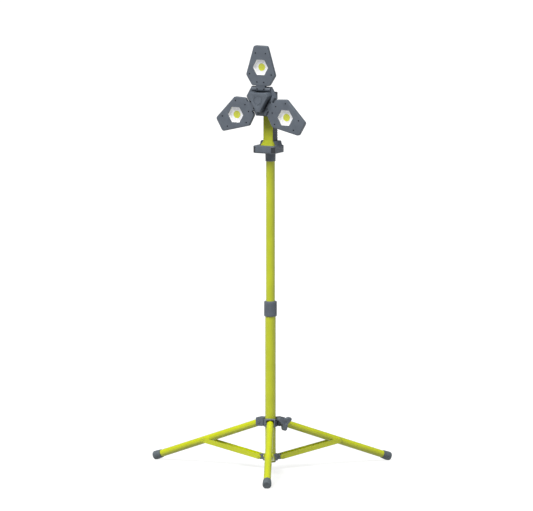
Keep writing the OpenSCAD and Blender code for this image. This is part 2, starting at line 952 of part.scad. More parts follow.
// Outline of a panel, shrunk by a margin
module panel_outline(margin) {
    tip = panel_reach - panel_corner;
    offset(r = panel_corner - margin, $fn = 32) polygon([
        [-panel_root_w / 2 + panel_corner, panel_root + panel_corner],
        [panel_root_w / 2 - panel_corner, panel_root + panel_corner],
        [panel_w / 2 - panel_corner, panel_wide_at],
        [panel_tip_w / 2 - panel_corner, tip],
        [-panel_tip_w / 2 + panel_corner, tip],
        [-panel_w / 2 + panel_corner, panel_wide_at]]);
}

// A plate with one bevelled face, from the face at z0 to the bevelled one at z1
module bevelled_plate(z0, z1) {
    up = sign(z1 - z0);
    edge = z1 - up * panel_bevel;
    hull() {
        translate([0, 0, min(z0, edge)]) linear_extrude(abs(edge - z0)) panel_outline(0);
        translate([0, 0, min(z1, z1 - up * eps)]) linear_extrude(eps) panel_outline(panel_bevel);
    }
}

// The hinge tab: a barrel round the pin and the arm that carries the panel
module panel_tab() {
    translate([0, hinge_reach, 0]) rotate([0, 90, 0])
        cylinder(r = panel_half_t - 0.2, h = tab_w, center = true);
    translate([-tab_half, hinge_reach, -panel_half_t + 0.2])
        cube([tab_w, panel_root - hinge_reach + tab_arm, panel_t - 0.4]);
}

// Keeps the part above a height, or below it
module keep_above(z) {
    intersection() {
        children();
        translate([-panel_w, 0, z]) cube([2 * panel_w, 2 * panel_reach, panel_t]);
    }
}

module keep_below(z) {
    intersection() {
        children();
        translate([-panel_w, 0, z - 2 * panel_t]) cube([2 * panel_w, 2 * panel_reach, 2 * panel_t]);
    }
}

// A hexagon with a flat side towards the hub, size flat to flat
module hexagon(size) {
    circle(d = size / cos(30), $fn = 6);
}

module at_screws(places) {
    for (p = places) {
        for (s = [-1, 1]) {
            translate([s * p[0], p[1], 0]) children();
        }
    }
}

module panel_front(i) {
    color(grey) in_panel(i) difference() {
        union() {
            bevelled_plate(panel_split, panel_half_t);
            keep_above(tab_split) panel_tab();
        }
        translate([0, 0, panel_split - 1]) linear_extrude(panel_half_t - panel_split + 1 - shell)
            panel_outline(shell);
        translate([-tab_half, 0, -panel_t])
            cube([tab_w, panel_root + tab_arm, panel_t + tab_split]);
        translate([0, window_at, 0]) linear_extrude(panel_t) hexagon(window);
        at_screws(concat(panel_screws, tab_screws)) {
            translate([0, 0, panel_half_t - head_sink]) cylinder(r = panel_head_r, h = 2, $fn = 24);
            cylinder(r = panel_screw_r, h = panel_t, $fn = 24);
        }
    }
}

module panel_back(i) {
    color(grey) in_panel(i) difference() {
        union() {
            bevelled_plate(panel_split, -panel_half_t);
            keep_below(tab_split) panel_tab();
            at_screws(panel_screws) translate([0, 0, -panel_half_t + 1])
                cylinder(r = 3.2, h = panel_t - shell - 1, $fn = 24);
        }
        difference() {
            translate([0, 0, -panel_half_t + shell]) linear_extrude(panel_t) panel_outline(shell);
            at_screws(panel_screws) translate([0, 0, -panel_half_t])
                cylinder(r = 3.2, h = 2 * panel_t, $fn = 24);
            translate([-tab_half, 0, -panel_t])
                cube([tab_w, panel_root + shell, 2 * panel_t]);
        }
        translate([0, hinge_reach, 0]) rotate([0, 90, 0])
            cylinder(r = hinge_pin_r + run_gap, h = 2 * tab_w, center = true);
        at_screws(panel_screws) cylinder(r = panel_screw_r, h = 2 * panel_t, center = true, $fn = 24);
        at_screws(tab_screws) translate([0, 0, 3]) cylinder(r = panel_screw_r, h = panel_t, $fn = 24);
    }
}

module reflector(i) {
    top = panel_half_t - shell;
    wall = reflector_wall + lens_ledge;
    mouth = window / cos(30) / 2 - lens_ledge;
    floor_r = mouth - window_slope;
    color("white") in_panel(i) translate([0, window_at, 0]) difference() {
        translate([0, 0, reflector_floor]) cylinder(r1 = floor_r + wall, r2 = mouth + wall,
            h = top - reflector_floor, $fn = 6);
        translate([0, 0, reflector_floor + reflector_wall]) cylinder(r1 = floor_r, r2 = mouth,
            h = top - reflector_floor - reflector_wall + eps, $fn = 6);
        cylinder(r = led_d / 2 + 0.1, h = 4 * panel_t, center = true);
    }
}

module led(i) {
    color("#d2d81f") in_panel(i) translate([0, window_at, 0]) {
        translate([0, 0, reflector_floor]) cylinder(r = led_d / 2, h = led_rise);
        translate([-14, -14, -panel_half_t + shell])
            cube([28, 28, led_board_t]);
    }
}

module lens(i) {
    color("#ffffff", 0.35) in_panel(i) translate([0, window_at, panel_half_t - shell])
        linear_extrude(lens_t) hexagon(window - 0.2);
}

module panel_screws_of(i) {
    head_z = panel_half_t - head_sink;
    color(dark) in_panel(i) {
        at_screws(panel_screws) {
            translate([0, 0, -panel_half_t + 2])
                cylinder(r = panel_screw_r, h = head_z + panel_half_t - 2, $fn = 24);
            translate([0, 0, head_z]) cylinder(r = panel_head_r, h = 1, $fn = 24);
        }
        at_screws(tab_screws) {
            translate([0, 0, 3.1]) cylinder(r = panel_screw_r, h = head_z - 3.1, $fn = 24);
            translate([0, 0, head_z]) cylinder(r = panel_head_r, h = 1, $fn = 24);
        }
    }
}

module panel_front_top() { panel_front(0); }

module panel_front_left() { panel_front(1); }

module panel_front_right() { panel_front(2); }

module panel_back_top() { panel_back(0); }

module panel_back_left() { panel_back(1); }

module panel_back_right() { panel_back(2); }

module reflector_top() { reflector(0); }

module reflector_left() { reflector(1); }

module reflector_right() { reflector(2); }

module led_top() { led(0); }

module led_left() { led(1); }

module led_right() { led(2); }

module lens_top() { lens(0); }

module lens_left() { lens(1); }

module lens_right() { lens(2); }

module screws_top() { panel_screws_of(0); }

module screws_left() { panel_screws_of(1); }

module screws_right() { panel_screws_of(2); }

lower_mast();
mast_plug();
lower_ring();
ring_pins();
clamp_body();
twist_collar();
upper_mast();
mast_bush();
mast_spigot();
socket_collar();
leg_collar();
leg_pins();
clamp_screw();
clamp_knob();
knob_nut();
leg_front();
leg_left();
leg_right();
foot_front();
foot_left();
foot_right();
strut_front();
strut_left();
strut_right();
rivets_front();
rivets_left();
rivets_right();
base_tray();
base_cover();
port_cover();
charge_board();
neck_front();
neck_grip();
neck_screws();
battery_cells();
hub_housing();
hub_cover();
hub_screws();
driver_board();
mode_switch();
mode_button();
hinge_pins();
panel_front_top();
panel_back_top();
reflector_top();
led_top();
lens_top();
screws_top();
panel_front_left();
panel_back_left();
reflector_left();
led_left();
lens_left();
screws_left();
panel_front_right();
panel_back_right();
reflector_right();
led_right();
lens_right();
screws_right();
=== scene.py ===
import json
import math

import bmesh
import bpy
from mathutils import Matrix, Vector


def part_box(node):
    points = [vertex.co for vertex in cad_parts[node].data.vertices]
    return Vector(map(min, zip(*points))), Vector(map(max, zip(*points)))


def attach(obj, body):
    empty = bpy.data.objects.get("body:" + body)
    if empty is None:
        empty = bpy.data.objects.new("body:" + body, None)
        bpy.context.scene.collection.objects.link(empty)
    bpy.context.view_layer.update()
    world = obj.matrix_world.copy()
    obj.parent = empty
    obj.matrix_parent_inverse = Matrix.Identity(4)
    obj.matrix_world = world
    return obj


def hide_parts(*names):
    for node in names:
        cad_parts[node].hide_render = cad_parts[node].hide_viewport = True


# Tripod work light. Metres, Z up, mast on the Z axis, front leg along -Y.
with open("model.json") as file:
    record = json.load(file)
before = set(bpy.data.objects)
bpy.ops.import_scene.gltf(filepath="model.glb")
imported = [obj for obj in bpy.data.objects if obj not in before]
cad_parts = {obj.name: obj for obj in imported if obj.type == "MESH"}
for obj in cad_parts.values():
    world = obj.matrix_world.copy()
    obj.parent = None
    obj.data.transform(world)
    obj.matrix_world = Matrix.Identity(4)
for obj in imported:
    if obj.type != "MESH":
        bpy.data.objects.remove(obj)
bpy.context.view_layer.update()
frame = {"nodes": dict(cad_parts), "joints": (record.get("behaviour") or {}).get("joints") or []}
nodes = frame["nodes"]
joints = {joint["name"]: joint for joint in frame["joints"]}
mm = 0.001
legNames = ["front", "left", "right"]
panelNames = ["top", "left", "right"]
print("frame loaded:", len(nodes), "nodes")


# Frames of reference, read from the joints

def axes(middle, across, up, forward):
    turn = Matrix((across, up, forward)).transposed().to_4x4()
    return Matrix.Translation(middle) @ turn


def boxMiddle(node):
    low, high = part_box(node)
    return (low + high) / 2


def jointAxis(name):
    return Vector(joints[name]["axis"]).normalized()


def jointPoint(name):
    return Vector(joints[name]["pos_m"])


def localBox(node, place):
    # lowest and highest corner of a CAD node, measured in another frame
    back = place.inverted()
    points = [back @ vertex.co for vertex in nodes[node].data.vertices]
    low = Vector([min(point[i] for point in points) for i in range(3)])
    high = Vector([max(point[i] for point in points) for i in range(3)])
    return low, high


upward = Vector((0, 0, 1))
across = jointAxis("panel_top_tilt")
forward = -jointAxis("button_press")
hubMiddle = jointPoint("panel_top_tilt")
hubMiddle.z = boxMiddle("mode_button").z
hubPlace = axes(hubMiddle, across, upward, forward)  # x across, y up, z to the front
lampPlace = axes(Vector((0, 0, 0)), across, -forward, upward)  # z up, -y to the front
panelPlaces = {
    name: hubPlace @ Matrix.Rotation(math.radians(turn), 4, "Z")
    for name, turn in zip(panelNames, (0, 120, -120))
}
legPlaces = {}
for leg in legNames:
    hinge = jointPoint("leg_" + leg + "_hinge")
    along = (boxMiddle("rivets_" + leg) - hinge).normalized()
    side = upward.cross(along).normalized()
    legPlaces[leg] = axes(hinge, along, side, along.cross(side))  # x towards the rivet


# Materials

def toLinear(hexText):
    channels = [int(hexText[i:i + 2], 16) / 255 for i in (1, 3, 5)]
    linear = [c / 12.92 if c < 0.04045 else ((c + 0.055) / 1.055) ** 2.4 for c in channels]
    return (*linear, 1)


def addNode(tree, kind, settings=None, links=None):
    node = tree.nodes.new("ShaderNode" + kind)
    for name, value in (settings or {}).items():
        if name in node.inputs:
            node.inputs[name].default_value = value
        else:
            setattr(node, name, value)
    for name, source in (links or {}).items():
        tree.links.new(source, node.inputs[name])
    return node


def newMaterial(name, settings):
    material = bpy.data.materials.new(name)
    material.use_nodes = True
    shader = material.node_tree.nodes["Principled BSDF"]
    for socket, value in settings.items():
        shader.inputs[socket].default_value = value
    return material, material.node_tree, shader


def grain(tree, size, detail=3, roughness=0.55):
    # noise whose features are about this big, in metres
    place = addNode(tree, "TexCoord").outputs["Object"]
    return addNode(tree, "TexNoise", {"Scale": 1 / size, "Detail": detail, "Roughness": roughness},
                   {"Vector": place}).outputs["Fac"]


def between(tree, value, low, high, start=0.0, end=1.0):
    return addNode(tree, "MapRange", {"From Min": low, "From Max": high, "To Min": start, "To Max": end},
                   {"Value": value}).outputs["Result"]


def blendColours(tree, amount, first, second):
    # two colours, each a hex text or another node's output, mixed by an amount
    mix = addNode(tree, "MixRGB", links={"Fac": amount})
    for socket, colour in (("Color1", first), ("Color2", second)):
        if isinstance(colour, str):
            mix.inputs[socket].default_value = toLinear(colour)
        else:
            tree.links.new(colour, mix.inputs[socket])
    return mix.outputs["Color"]


def edgeMask(tree, radius, low, high):
    # 1 on outer edges, from the angle between the true and the rounded normal
    rounded = addNode(tree, "Bevel", {"Radius": radius, "samples": 4}).outputs["Normal"]
    true = addNode(tree, "NewGeometry").outputs["Normal"]
    facing = addNode(tree, "VectorMath", {"operation": "DOT_PRODUCT"}).inputs
    tree.links.new(rounded, facing[0])
    tree.links.new(true, facing[1])
    dot = facing[0].node.outputs["Value"]
    return between(tree, dot, high, low)


def twoTone(tree, shader, amount, first, second):
    tree.links.new(blendColours(tree, amount, first, second), shader.inputs["Base Color"])


def patchyGloss(tree, shader, size, low, high, detail=3):
    # roughness that wanders between two values, in patches about this big
    tree.links.new(between(tree, grain(tree, size, detail), 0.3, 0.7, low, high), shader.inputs["Roughness"])


def bumped(tree, shader, height, strength, distance):
    bump = addNode(tree, "Bump", {"Strength": strength, "Distance": distance}, {"Height": height})
    tree.links.new(bump.outputs["Normal"], shader.inputs["Normal"])


powderCoat = {"base": "#d2da0e", "deep": "#c4cc0a", "worn": "#e0e65e", "peel": 1.8 * mm, "cloud": 90 * mm}


def makePowderCoat():
    # gloss powder coat baked on steel tube: orange peel softens its highlights
    material, tree, shader = newMaterial("limePowderCoat", {"Coat Weight": 0.25, "Coat Roughness": 0.12})
    cloud = between(tree, grain(tree, powderCoat["cloud"]), 0.35, 0.65)
    colour = blendColours(tree, cloud, powderCoat["base"], powderCoat["deep"])
    scuff = between(tree, grain(tree, 6 * mm, detail=6), 0.56, 0.7, 0, 0.5)
    edge = edgeMask(tree, 0.8 * mm, 0.7, 0.98)
    rubbed = addNode(tree, "Math", {"operation": "MULTIPLY"})
    tree.links.new(scuff, rubbed.inputs[0])
    tree.links.new(edge, rubbed.inputs[1])
    colour = blendColours(tree, rubbed.outputs["Value"], colour, powderCoat["worn"])
    tree.links.new(colour, shader.inputs["Base Color"])
    patchyGloss(tree, shader, 25 * mm, 0.3, 0.42, detail=5)
    bumped(tree, shader, grain(tree, powderCoat["peel"], detail=1), 0.25, 0.12 * mm)
    return material


limePlastic = {"base": "#d0d824", "deep": "#c0c81e", "spark": 0.9 * mm, "cloud": 40 * mm}


def makeLimePlastic():
    # moulded ABS with a fine spark-eroded texture: satin, no sharp highlights
    material, tree, shader = newMaterial("limeAbs", {"IOR": 1.53})
    cloud = between(tree, grain(tree, limePlastic["cloud"]), 0.35, 0.65)
    twoTone(tree, shader, cloud, limePlastic["base"], limePlastic["deep"])
    patchyGloss(tree, shader, 14 * mm, 0.4, 0.52, detail=4)
    bumped(tree, shader, grain(tree, limePlastic["spark"], detail=2), 0.3, 0.08 * mm)
    return material


greyNylon = {"base": "#656d77", "deep": "#5b636d", "worn": "#8b929a", "spark": 0.8 * mm, "cloud": 30 * mm}


def makeGreyNylon():
    # glass-filled nylon: matt, faintly cloudy from the fibres, paler where edges rub
    material, tree, shader = newMaterial("greyNylon", {"IOR": 1.5})
    cloud = between(tree, grain(tree, greyNylon["cloud"], detail=5), 0.35, 0.65)
    colour = blendColours(tree, cloud, greyNylon["base"], greyNylon["deep"])
    scuff = between(tree, grain(tree, 3 * mm, detail=6), 0.45, 0.65, 0, 0.45)
    edge = edgeMask(tree, 0.6 * mm, 0.75, 0.98)
    rubbed = addNode(tree, "Math", {"operation": "MULTIPLY"})
    tree.links.new(scuff, rubbed.inputs[0])
    tree.links.new(edge, rubbed.inputs[1])
    colour = blendColours(tree, rubbed.outputs["Value"], colour, greyNylon["worn"])
    tree.links.new(colour, shader.inputs["Base Color"])
    patchyGloss(tree, shader, 9 * mm, 0.46, 0.6, detail=5)
    bumped(tree, shader, grain(tree, greyNylon["spark"], detail=2), 0.35, 0.08 * mm)
    return material


def makeSoftGrip():
    # overmoulded thermoplastic rubber: dark, dull, with a dusty bloom
    sheen = {"Sheen Weight": 0.15, "Sheen Roughness": 0.5}
    material, tree, shader = newMaterial("softGrip", {"IOR": 1.5, **sheen})
    cloud = between(tree, grain(tree, 18 * mm, detail=5), 0.35, 0.65)
    twoTone(tree, shader, cloud, "#4c525b", "#434851")
    patchyGloss(tree, shader, 7 * mm, 0.62, 0.75, detail=4)
    bumped(tree, shader, grain(tree, 0.7 * mm, detail=2), 0.4, 0.1 * mm)
    return material


def makeFootRubber():
    # moulded rubber: dull grey, dust settled low down and scuffs on the toe
    material, tree, shader = newMaterial("footRubber", {"IOR": 1.52})
    place = addNode(tree, "TexCoord").outputs["Object"]
    height = addNode(tree, "SeparateXYZ", links={"Vector": place}).outputs["Z"]
    dust = between(tree, height, 14 * mm, 1 * mm, 0.0, 0.5)
    dusty = addNode(tree, "Math", {"operation": "MULTIPLY"})
    tree.links.new(dust, dusty.inputs[0])
    tree.links.new(grain(tree, 4 * mm, detail=6), dusty.inputs[1])
    colour = blendColours(tree, between(tree, grain(tree, 12 * mm), 0.35, 0.65), "#616a6f", "#565e63")
    colour = blendColours(tree, dusty.outputs["Value"], colour, "#8e9292")
    tree.links.new(colour, shader.inputs["Base Color"])
    patchyGloss(tree, shader, 5 * mm, 0.6, 0.78, detail=4)
    bumped(tree, shader, grain(tree, 1.1 * mm, detail=3), 0.5, 0.12 * mm)
    return material


def makeBlackAbs():
    # injection-moulded black ABS on inner parts
    material, tree, shader = newMaterial("blackAbs", {"IOR": 1.53})
    twoTone(tree, shader, grain(tree, 10 * mm), "#22252a", "#2b2f35")
    patchyGloss(tree, shader, 6 * mm, 0.38, 0.5)
    bumped(tree, shader, grain(tree, 0.6 * mm), 0.3, 0.06 * mm)
    return material


def makeZincSteel():
    # zinc-plated steel: bright, slightly mottled by the plating bath
    material, tree, shader = newMaterial("zincSteel", {"Metallic": 1.0})
    twoTone(tree, shader, grain(tree, 3 * mm, detail=5), "#c3c6c9", "#a8acb1")
    patchyGloss(tree, shader, 1.5 * mm, 0.24, 0.42, detail=4)
    bumped(tree, shader, grain(tree, 0.5 * mm), 0.15, 0.03 * mm)
    return material


def makeBlackenedSteel():
    # black-oxide screws: near black, a dull metal sheen
    material, tree, shader = newMaterial("blackenedSteel", {"Metallic": 0.8})
    twoTone(tree, shader, grain(tree, 1 * mm), "#1b1d21", "#2a2d32")
    patchyGloss(tree, shader, 0.8 * mm, 0.4, 0.55)
    bumped(tree, shader, grain(tree, 0.3 * mm), 0.2, 0.02 * mm)
    return material


def makeBrass():
    # turned brass insert: warm, tarnished in patches
    material, tree, shader = newMaterial("turnedBrass", {"Metallic": 1.0})
    twoTone(tree, shader, grain(tree, 4 * mm, detail=5), "#c9a554", "#9c7b36")
    patchyGloss(tree, shader, 2 * mm, 0.22, 0.4)
    bumped(tree, shader, grain(tree, 0.4 * mm), 0.15, 0.02 * mm)
    return material


def makeCellWrap():
    # shrink-wrapped cells: thin glossy PVC sleeve
    material, tree, shader = newMaterial("shrinkWrap", {"IOR": 1.53, "Coat Weight": 0.3})
    twoTone(tree, shader, grain(tree, 20 * mm), "#3a6ea5", "#325f90")
    patchyGloss(tree, shader, 5 * mm, 0.25, 0.35)
    bumped(tree, shader, grain(tree, 6 * mm, detail=4), 0.2, 0.1 * mm)
    return material


def makeSolderMask():
    # green solder mask over glass fibre, tracks faintly raised
    material, tree, shader = newMaterial("solderMask", {"IOR": 1.55})
    twoTone(tree, shader, grain(tree, 2 * mm), "#1f5c3a", "#174a2e")
    patchyGloss(tree, shader, 3 * mm, 0.3, 0.42)
    bumped(tree, shader, grain(tree, 1.2 * mm), 0.3, 0.04 * mm)
    return material


def makeReflectorWhite():
    # white polycarbonate reflector: bright and satin, with a faint painted glow standing in for the light
    # that bounces round inside it
    # the emission is a painted glow, not a lamp
    material, tree, shader = newMaterial("reflectorWhite", {"IOR": 1.58, "Emission Strength": 0.12})
    shader.inputs["Emission Color"].default_value = toLinear("#ffffff")
    twoTone(tree, shader, grain(tree, 12 * mm), "#f3f3f4", "#e9e9eb")
    patchyGloss(tree, shader, 5 * mm, 0.28, 0.38)
    bumped(tree, shader, grain(tree, 1 * mm), 0.1, 0.03 * mm)
    return material


def makePhosphor():
    # silicone with yellow phosphor over the chips: matt, grainy, brightest in the middle, with a faint
    # painted glow that brightens its yellow although the chips are not lit
    # the emission is a faint painted glow, not light from the chips
    material, tree, shader = newMaterial("ledPhosphor", {"IOR": 1.41, "Emission Strength": 0.06})
    shader.inputs["Emission Color"].default_value = toLinear("#e6ea00")
    cloud = between(tree, grain(tree, 3 * mm, detail=5), 0.35, 0.65)
    twoTone(tree, shader, cloud, "#d6da00", "#c8cc00")
    patchyGloss(tree, shader, 1 * mm, 0.45, 0.6)
    bumped(tree, shader, grain(tree, 0.6 * mm), 0.25, 0.05 * mm)
    return material


def makeClearLens():
    # clear polycarbonate window: the dish shows through under a soft gloss
    material, tree, shader = newMaterial("clearLens", {"IOR": 1.2, "Alpha": 0.04, "Specular IOR Level": 0.25})
    twoTone(tree, shader, grain(tree, 20 * mm), "#fbfcfc", "#f4f6f6")
    patchyGloss(tree, shader, 8 * mm, 0.06, 0.12)
    return material


finishes = {
    "painted_tube": makePowderCoat(),
    "lime_plastic": makeLimePlastic(),
    "grey_plastic": makeGreyNylon(),
    "grip_plastic": makeSoftGrip(),
    "foot_rubber": makeFootRubber(),
    "dark_plastic": makeBlackAbs(),
    "steel": makeZincSteel(),
    "blackened_steel": makeBlackenedSteel(),
    "brass": makeBrass(),
    "cell_wrap": makeCellWrap(),
    "circuit_board": makeSolderMask(),
    "reflector_white": makeReflectorWhite(),
    "led_phosphor": makePhosphor(),
    "clear_lens": makeClearLens(),
}
print("materials made:", len(finishes))


# Camera, light and floor

studio = {
    "elevation": 7.3,
    "azimuth": 1.5,
    "distance": 40.0,
    "widthSeen": 1.606,
    "aimLeft": 0.012,
    "aimHeight": 0.650,
    "floorSize": 90.0,
    "floorGlow": 0.8,
    "skyStrength": 0.32,
    "keyLight": {"azimuth": -35, "elevation": 58, "softness": 35, "strength": 3.3},
    "fillLight": {"azimuth": 60, "elevation": 25, "softness": 60, "strength": 0.25},
}


def makeCamera():
    elevation = math.radians(studio["elevation"])
    azimuth = math.radians(studio["azimuth"])
    back = Vector((math.sin(azimuth) * math.cos(elevation), -math.cos(azimuth) * math.cos(elevation),
                   math.sin(elevation)))
    target = Vector((-studio["aimLeft"], 0, studio["aimHeight"]))
    data = bpy.data.cameras.new("camera")
    data.sensor_width = 36.0
    data.lens = data.sensor_width * studio["distance"] / studio["widthSeen"]
    data.clip_end = 200
    camera = bpy.data.objects.new("camera", data)
    camera.location = target + back * studio["distance"]
    camera.rotation_mode = "QUATERNION"
    camera.rotation_quaternion = (-back).to_track_quat("-Z", "Y")
    bpy.context.scene.collection.objects.link(camera)
    bpy.context.scene.camera = camera


def addSun(name, azimuth, elevation, softness, strength):
    # azimuth is measured from the front, to the right; a wide angle makes the light soft
    data = bpy.data.lights.new(name, "SUN")
    data.angle = math.radians(softness)
    data.energy = strength
    light = bpy.data.objects.new(name, data)
    turn, rise = math.radians(azimuth), math.radians(elevation)
    source = Vector((math.sin(turn) * math.cos(rise), -math.cos(turn) * math.cos(rise), math.sin(rise)))
    light.rotation_mode = "QUATERNION"
    light.rotation_quaternion = (-source).to_track_quat("-Z", "Y")
    bpy.context.scene.collection.objects.link(light)


def makeStudio():
    for name in ("keyLight", "fillLight"):
        addSun(name, **studio[name])
    world = bpy.data.worlds.new("studioWorld")
    world.use_nodes = True
    tree = world.node_tree
    tree.nodes["Background"].inputs["Color"].default_value = toLinear("#f2f4f8")
    tree.nodes["Background"].inputs["Strength"].default_value = studio["skyStrength"]
    bpy.context.scene.world = world
    bpy.context.scene.view_settings.view_transform = "Standard"

    bpy.ops.object.select_all(action="DESELECT")
    bpy.ops.mesh.primitive_plane_add(size=studio["floorSize"])
    floor = bpy.context.object
    floor.name = "floor"
    glow = studio["floorGlow"]
    material, tree, shader = newMaterial("paleFloor", {"Roughness": 0.7, "Emission Strength": glow})
    shader.inputs["Emission Color"].default_value = toLinear("#ffffff")
    twoTone(tree, shader, grain(tree, 400 * mm), "#8c8c8c", "#888888")
    floor.data.materials.append(material)
    floor.visible_diffuse = False  # the pale floor is lit, and throws no light back up


makeCamera()
makeStudio()
print("camera and studio made")


# Modelling: the same few steps make every piece. Sizes in the settings below are in mm.

def deselect():
    if bpy.context.object and bpy.context.object.mode == "EDIT":
        bpy.ops.object.mode_set(mode="OBJECT")
    bpy.ops.object.select_all(action="DESELECT")


def pickOnly(piece):
    deselect()
    bpy.context.view_layer.objects.active = piece
    piece.select_set(True)


def drawLine(name, points, closed=False):
    # edges drawn through the points, each extruded from the one before
    deselect()
    bpy.ops.mesh.primitive_plane_add(size=mm)
    piece = bpy.context.object
    piece.name = name
    bpy.ops.object.mode_set(mode="EDIT")
    bpy.ops.mesh.merge(type="CENTER")
    bpy.ops.transform.translate(value=points[0])
    for start, end in zip(points, points[1:]):
        bpy.ops.mesh.extrude_vertices_move(TRANSFORM_OT_translate={"value": Vector(end) - Vector(start)})
    if closed:
        bpy.ops.mesh.select_all(action="SELECT")
        bpy.ops.mesh.edge_face_add()
    bpy.ops.object.mode_set(mode="OBJECT")
    return piece


def facesOutward():
    # ends an edit with all normals pointing out
    bpy.ops.mesh.select_all(action="SELECT")
    bpy.ops.mesh.normals_make_consistent(inside=False)
    bpy.ops.object.mode_set(mode="OBJECT")


def plate(name, outline, bottom, top):
    # a flat outline raised from one height to another
    piece = drawLine(name, [(x * mm, y * mm, bottom * mm) for x, y in outline], closed=True)
    bpy.ops.object.mode_set(mode="EDIT")
    bpy.ops.mesh.select_all(action="SELECT")
    bpy.ops.mesh.extrude_region_move(TRANSFORM_OT_translate={"value": (0, 0, (top - bottom) * mm)})
    facesOutward()
    return piece


def turned(name, profile, steps=64):
    # a profile of radius and height, spun round Z
    piece = drawLine(name, [(r * mm, 0, z * mm) for r, z in profile])
    bpy.ops.object.mode_set(mode="EDIT")
    bpy.ops.mesh.select_all(action="SELECT")
    bpy.ops.mesh.spin(steps=steps, angle=2 * math.pi, center=(0, 0, 0), axis=(0, 0, 1))
    bpy.ops.mesh.select_all(action="SELECT")
    bpy.ops.mesh.remove_doubles(threshold=0.001 * mm)
    facesOutward()
    return piece


def roundEdges(piece, width, segments, wanted):
    # bevels the edges whose two ends, in mm, pass the test
    pickOnly(piece)
    bpy.ops.object.mode_set(mode="EDIT")
    bpy.ops.mesh.select_mode(type="EDGE")
    bpy.ops.mesh.select_all(action="DESELECT")
    mesh = bmesh.from_edit_mesh(piece.data)
    for edge in mesh.edges:
        edge.select_set(wanted(*(vertex.co / mm for vertex in edge.verts)))
    bmesh.update_edit_mesh(piece.data)
    bpy.ops.mesh.bevel(offset=width * mm, segments=segments, affect="EDGES")
    bpy.ops.mesh.select_mode(type="VERT")
    facesOutward()


def roundTop(piece, width, segments, top):
    roundEdges(piece, width, segments, lambda a, b: min(a.z, b.z) > top - nearby)


def roundBottom(piece, width, segments, bottom):
    roundEdges(piece, width, segments, lambda a, b: max(a.z, b.z) < bottom + nearby)


def taper(piece, direction, scale):
    # widens or narrows the end face that looks one way
    pickOnly(piece)
    bpy.ops.object.mode_set(mode="EDIT")
    bpy.ops.mesh.select_mode(type="FACE")
    bpy.ops.mesh.select_all(action="DESELECT")
    mesh = bmesh.from_edit_mesh(piece.data)
    mesh.normal_update()
    for face in mesh.faces:
        face.select_set(face.normal.dot(Vector(direction)) > 0.99)
    bmesh.update_edit_mesh(piece.data)
    bpy.ops.transform.resize(value=scale, center_override=(0, 0, 0))
    bpy.ops.mesh.select_mode(type="VERT")
    bpy.ops.object.mode_set(mode="OBJECT")


def modify(piece, kind, settings):
    pickOnly(piece)
    modifier = piece.modifiers.new(kind.lower(), kind)
    for name, value in settings.items():
        setattr(modifier, name, value)
    bpy.ops.object.modifier_apply(modifier=modifier.name)


def combine(piece, other, operation="DIFFERENCE"):
    # cuts, adds or intersects with another piece, which is used up
    modify(piece, "BOOLEAN", {"object": other, "operation": operation, "solver": "EXACT"})
    bpy.data.objects.remove(other)


def soften(piece, width):
    # a small round on every sharp edge
    modify(piece, "BEVEL", {"width": width * mm, "segments": 2, "limit_method": "ANGLE",
                            "angle_limit": sharpAngle, "harden_normals": False})


def turnTo(piece, place):
    # moves the mesh itself, so that the object stays at the origin
    pickOnly(piece)
    piece.matrix_world = place
    bpy.ops.object.transform_apply(location=True, rotation=True, scale=True)
    return piece


def moveBy(x=0, y=0, z=0):
    return Matrix.Translation((x * mm, y * mm, z * mm))


def turnAbout(axis, degrees):
    return Matrix.Rotation(math.radians(degrees), 4, axis)


def repeat(piece, count, step):
    modify(piece, "ARRAY", {"count": count, "use_relative_offset": False, "use_constant_offset": True,
                            "constant_offset_displace": Vector(step) * mm})


def copyPiece(piece, name):
    pickOnly(piece)
    bpy.ops.object.duplicate()
    bpy.context.object.name = name
    return bpy.context.object


def joinPieces(pieces):
    deselect()
    for piece in pieces:
        piece.select_set(True)
    bpy.context.view_layer.objects.active = pieces[0]
    bpy.ops.object.join()
    return pieces[0]


def settle(piece, place, body, slot, replaced=()):
    # the finished piece goes to its place, takes its finish and rides on its body
    turnTo(piece, place)
    bpy.ops.object.shade_smooth_by_angle(angle=sharpAngle)
    piece.data.materials.clear()
    piece.data.materials.append(finishes[slot])
    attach(piece, body)
    if replaced:
        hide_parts(*replaced)


# Outlines

def softCorners(centres, radius, steps=5):
    # an outline round circles at the corners, which are given anticlockwise
    points = []
    for index, centre in enumerate(centres):
        before = Vector(centre) - Vector(centres[index - 1])
        after = Vector(centres[(index + 1) % len(centres)]) - Vector(centre)
        start = math.atan2(-before.x, before.y)
        sweep = (math.atan2(-after.x, after.y) - start) % (2 * math.pi)
        for step in range(steps + 1):
            angle = start + sweep * step / steps
            points.append((centre[0] + radius * math.cos(angle), centre[1] + radius * math.sin(angle)))
    return points


def roundBox(width, depth, radius, middle=(0, 0), steps=5):
    x, y = width / 2 - radius, depth / 2 - radius
    centres = [(middle[0] + a * x, middle[1] + b * y) for a, b in ((1, -1), (1, 1), (-1, 1), (-1, -1))]
    return softCorners(centres, radius, steps)


def roundHexagon(flats, radius, middle=(0, 0), steps=4):
    # flat sides up and down, corners to the sides
    reach = (flats / 2 - radius) / math.cos(math.pi / 6)
    centres = [(middle[0] + reach * math.cos(math.pi / 3 * i), middle[1] + reach * math.sin(math.pi / 3 * i))
               for i in range(6)]
    return softCorners(centres, radius, steps)


def cutTriangle(side, half):
    # one side at the top, corners cut off; given by the distance to a side and half its length
    points = []
    for turn in threeWays:
        angle = math.radians(turn)
        for x in (half, -half):
            points.append((x * math.cos(angle) - side * math.sin(angle),
                           x * math.sin(angle) + side * math.cos(angle)))
    return points


def arc(middle, radius, start, end, steps):
    angles = [math.radians(start + (end - start) * step / steps) for step in range(steps + 1)]
    return [(middle[0] + radius * math.cos(angle), middle[1] + radius * math.sin(angle)) for angle in angles]


def block(name, left, right, near, rear, bottom, top):
    # a plain cutter
    return plate(name, [(left, near), (right, near), (right, rear), (left, rear)], bottom, top)


